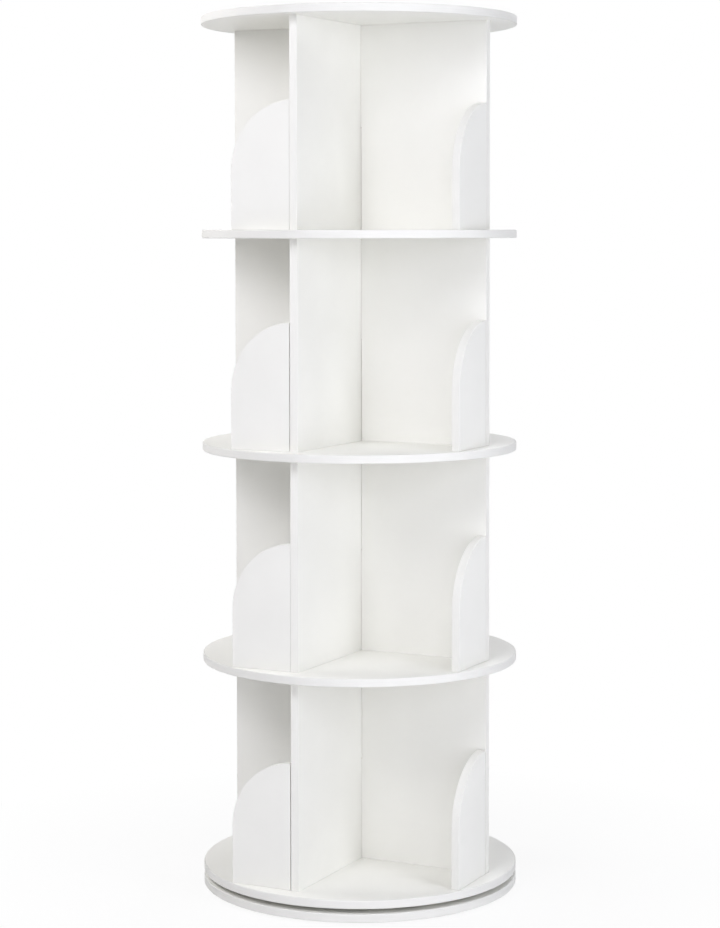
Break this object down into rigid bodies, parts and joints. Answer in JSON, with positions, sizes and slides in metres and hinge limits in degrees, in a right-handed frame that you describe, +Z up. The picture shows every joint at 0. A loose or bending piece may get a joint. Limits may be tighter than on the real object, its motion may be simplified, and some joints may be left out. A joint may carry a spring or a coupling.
{
  "type": "rotating bookshelf",
  "caption": "Round rotating bookshelf: stacked round boards, crossed dividers and arched baffles form open compartments that turn on a roller turntable over a fixed base.",
  "frame": {"origin": "on the floor, under the turning axis", "axes": "+Z up along the turning axis, +X and +Y along the two crossed dividers at rest"},
  "size_m": [0.4599, 0.46, 1.27],
  "materials": {
    "white_board": "satin white melamine laminate",
    "beech_dowel": "bare turned beech",
    "zinc_plate": "zinc-plated sheet steel",
    "pin_steel": "ground steel",
    "cage_nylon": "natural moulded nylon",
    "pad_rubber": "matt moulded rubber"
  },
  "bodies": {
    "base": {"foot_pads": "pad_rubber", "base_disc": "white_board", "turntable_lower_plate": "zinc_plate", "turntable_pivot": "pin_steel"},
    "cage": {"roller_cage": "cage_nylon", "turntable_rollers": "pin_steel"},
    "tower": {"turntable_upper_plate": "zinc_plate", "bottom_board": "white_board", "shelf_board_1": "white_board", "shelf_board_2": "white_board", "shelf_board_3": "white_board", "top_board": "white_board", "tier_1_divider_x": "white_board", "tier_1_divider_y": "white_board", "tier_2_divider_x": "white_board", "tier_2_divider_y": "white_board", "tier_3_divider_x": "white_board", "tier_3_divider_y": "white_board", "tier_4_divider_x": "white_board", "tier_4_divider_y": "white_board", "tier_1_baffle_front": "white_board", "tier_1_baffle_right": "white_board", "tier_1_baffle_back": "white_board", "tier_1_baffle_left": "white_board", "tier_2_baffle_front": "white_board", "tier_2_baffle_right": "white_board", "tier_2_baffle_back": "white_board", "tier_2_baffle_left": "white_board", "tier_3_baffle_front": "white_board", "tier_3_baffle_right": "white_board", "tier_3_baffle_back": "white_board", "tier_3_baffle_left": "white_board", "tier_4_baffle_front": "white_board", "tier_4_baffle_right": "white_board", "tier_4_baffle_back": "white_board", "tier_4_baffle_left": "white_board", "bottom_board_dowels": "beech_dowel", "shelf_board_1_dowels": "beech_dowel", "shelf_board_2_dowels": "beech_dowel", "shelf_board_3_dowels": "beech_dowel", "top_board_dowels": "beech_dowel"}
  },
  "joints": [
    {"name": "tower_spin", "type": "hinge", "parent": "base", "child": "tower", "pos_m": [0, 0, 0.0185], "axis": [0, 0, 1], "continuous": true},
    {"name": "cage_spin", "type": "hinge", "parent": "base", "child": "cage", "pos_m": [0, 0, 0.0185], "axis": [0, 0, 1], "continuous": true}
  ],
  "couplings": [
    {"joint": "cage_spin", "follows": "tower_spin", "ratio": 0.5}
  ]
}
